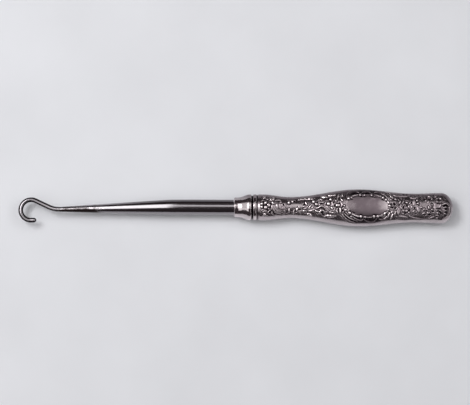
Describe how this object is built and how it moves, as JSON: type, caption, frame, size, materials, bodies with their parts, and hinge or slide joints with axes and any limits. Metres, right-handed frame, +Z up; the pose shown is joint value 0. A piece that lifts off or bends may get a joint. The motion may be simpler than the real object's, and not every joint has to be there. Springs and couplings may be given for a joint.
{
  "type": "button hook",
  "caption": "Boot button hook: flat steel wire hook on a tapered round shank that leans slightly, set by a ferrule and collar ring into a slim waisted silver handle with a rounded butt.",
  "frame": {"origin": "on the surface the handle lies on, below the middle of the overall length and on the shank's axis in Y", "axes": "+X along the shank from the hook to the butt; +Z up, out of the front half of the handle with its plain oval; the loop of the hook lies flat in the XY plane with its point on the -Y side"},
  "size_m": [0.1902, 0.0162, 0.0126],
  "materials": {
    "forged_steel": "polished, with dark pitted wear near the hook",
    "polished_silver": "polished, tarnished in the grooves",
    "struck_silver": "die-struck relief, dark oxide in the hollows",
    "hard_pitch": "dull cast resin and brick dust"
  },
  "bodies": {
    "root": {"steel_hook": "forged_steel", "ferrule": "polished_silver", "collar_ring": "polished_silver", "handle_front_half": "struck_silver", "handle_back_half": "struck_silver", "pitch_filling": "hard_pitch"}
  },
  "joints": []
}
